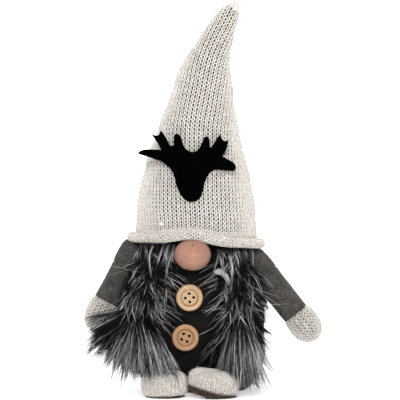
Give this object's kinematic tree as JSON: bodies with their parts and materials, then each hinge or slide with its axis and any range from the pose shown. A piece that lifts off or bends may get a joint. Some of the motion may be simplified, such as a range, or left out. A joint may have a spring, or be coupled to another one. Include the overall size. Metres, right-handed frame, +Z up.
{
  "type": "tomte gnome figurine",
  "caption": "Standing stuffed gnome: felt body on a weighted base, leaning knitted cone hat with a felt moose head, ball nose, tied fur locks, wooden buttons, knitted mittens and feet",
  "frame": {"origin": "Centre of the flat base on the table, on the upright middle line of the body", "axes": "+Z up, the figure faces -Y, +X is to the viewer's right when seen from the front; the hat's tip leans towards +X. Left and right in the node names are as seen from the front."},
  "size_m": [0.1816, 0.1218, 0.2966],
  "materials": {
    "body_felt": "matte",
    "base_card": "matte",
    "bag_cloth": "matte",
    "pellets": "satin",
    "fibrefill": "matte",
    "hat_knit": "matte",
    "moose_felt": "matte",
    "nose_fleece": "matte",
    "button_wood": "satin",
    "sleeve_felt": "matte",
    "mitten_knit": "matte",
    "thread": "matte",
    "hair_fur": "satin",
    "tie_cord": "matte",
    "foot_knit": "matte",
    "sole_plush": "matte"
  },
  "bodies": {
    "torso": {"body_sack": "body_felt", "base_panel": "body_felt", "base_board": "base_card", "weight_bag": "bag_cloth", "weight_pellets": "pellets", "body_stuffing": "fibrefill", "hat_cone": "hat_knit", "hat_cone_stuffing": "fibrefill", "moose_applique": "moose_felt", "nose_cover": "nose_fleece", "nose_stuffing": "fibrefill", "upper_button": "button_wood", "lower_button": "button_wood"},
    "hat_top": {"hat_tip": "hat_knit", "hat_tip_stuffing": "fibrefill"},
    "left_shoulder": {"left_shoulder_thread": "thread"},
    "left_arm": {"left_sleeve": "sleeve_felt", "left_arm_stuffing": "fibrefill", "left_mitten": "mitten_knit"},
    "left_hair": {"left_lock": "hair_fur", "left_tie": "tie_cord", "left_tuft": "hair_fur"},
    "left_foot": {"left_foot_cover": "foot_knit", "left_foot_stuffing": "fibrefill", "left_sole": "sole_plush"},
    "right_shoulder": {"right_shoulder_thread": "thread"},
    "right_arm": {"right_sleeve": "sleeve_felt", "right_arm_stuffing": "fibrefill", "right_mitten": "mitten_knit"},
    "right_hair": {"right_lock": "hair_fur", "right_tie": "tie_cord", "right_tuft": "hair_fur"},
    "right_foot": {"right_foot_cover": "foot_knit", "right_foot_stuffing": "fibrefill", "right_sole": "sole_plush"}
  },
  "joints": [
    {"name": "left_shoulder_swing", "type": "hinge", "parent": "torso", "child": "left_shoulder", "pos_m": [-0.049, 0, 0.102], "axis": [1, 0, 0], "range_deg": [-8, 50]},
    {"name": "left_arm_raise", "type": "hinge", "parent": "left_shoulder", "child": "left_arm", "pos_m": [-0.049, 0, 0.102], "axis": [0, 1, 0], "range_deg": [-3, 58]},
    {"name": "right_shoulder_swing", "type": "hinge", "parent": "torso", "child": "right_shoulder", "pos_m": [0.0465, 0, 0.095], "axis": [1, 0, 0], "range_deg": [-8, 50]},
    {"name": "right_arm_raise", "type": "hinge", "parent": "right_shoulder", "child": "right_arm", "pos_m": [0.0465, 0, 0.095], "axis": [0, -1, 0], "range_deg": [0, 52]},
    {"name": "hat_tip_bend", "type": "hinge", "parent": "torso", "child": "hat_top", "pos_m": [0.0062, 0, 0.24096], "axis": [0, 1, 0], "range_deg": [-22, 22]},
    {"name": "left_lock_lift", "type": "hinge", "parent": "torso", "child": "left_hair", "pos_m": [-0.03, -0.037, 0.106], "axis": [-1, 0, 0], "range_deg": [0, 60]},
    {"name": "right_lock_lift", "type": "hinge", "parent": "torso", "child": "right_hair", "pos_m": [0.0255, -0.0385, 0.1015], "axis": [-1, 0, 0], "range_deg": [0, 60]},
    {"name": "left_foot_tilt", "type": "hinge", "parent": "torso", "child": "left_foot", "pos_m": [-0.0225, -0.0424, 0.0107], "axis": [-1, 0, 0], "range_deg": [0, 12]},
    {"name": "right_foot_tilt", "type": "hinge", "parent": "torso", "child": "right_foot", "pos_m": [0.0145, -0.0429, 0.0107], "axis": [-1, 0, 0], "range_deg": [0, 12]}
  ]
}
